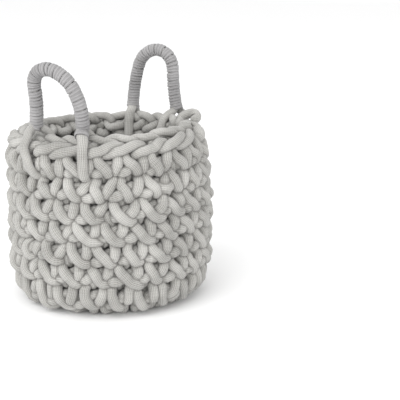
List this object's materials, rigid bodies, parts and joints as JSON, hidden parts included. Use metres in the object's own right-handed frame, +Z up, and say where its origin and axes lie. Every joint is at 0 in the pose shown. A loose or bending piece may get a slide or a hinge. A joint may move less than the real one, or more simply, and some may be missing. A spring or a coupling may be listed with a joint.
{
  "type": "crocheted rope basket",
  "caption": "Round open storage basket crocheted from thick soft rope, with upright cord-whipped carrying handles that tilt at the rim.",
  "frame": {"origin": "centre of the basket's footprint, on the surface that it stands on", "axes": "+Z up out of the open top; -Y towards the front handle, +Y towards the rear handle; +X to the right seen from the front"},
  "size_m": [0.326, 0.326, 0.3979],
  "materials": {
    "rope": "matte",
    "cord": "matte"
  },
  "bodies": {
    "basket": {"base_centre": "rope", "base_round_1": "rope", "base_round_2": "rope", "base_round_3": "rope", "wall_round_1": "rope", "wall_round_2": "rope", "wall_round_3": "rope", "wall_round_4": "rope", "wall_round_5": "rope", "wall_round_6": "rope", "wall_round_7": "rope", "rim_braid": "rope", "fastened_end": "rope", "front_left_loop": "rope", "front_right_loop": "rope", "rear_left_loop": "rope", "rear_right_loop": "rope"},
    "front_handle": {"front_outer_strand": "rope", "front_inner_strand": "rope", "front_whipping": "cord"},
    "rear_handle": {"rear_outer_strand": "rope", "rear_inner_strand": "rope", "rear_whipping": "cord"}
  },
  "joints": [
    {"name": "front_handle_tilt", "type": "hinge", "parent": "basket", "child": "front_handle", "pos_m": [0, -0.12974, 0.29092], "axis": [1, 0, 0], "range_deg": [-80, 48]},
    {"name": "rear_handle_tilt", "type": "hinge", "parent": "basket", "child": "rear_handle", "pos_m": [0, 0.12974, 0.29092], "axis": [-1, 0, 0], "range_deg": [-68, 60]}
  ]
}
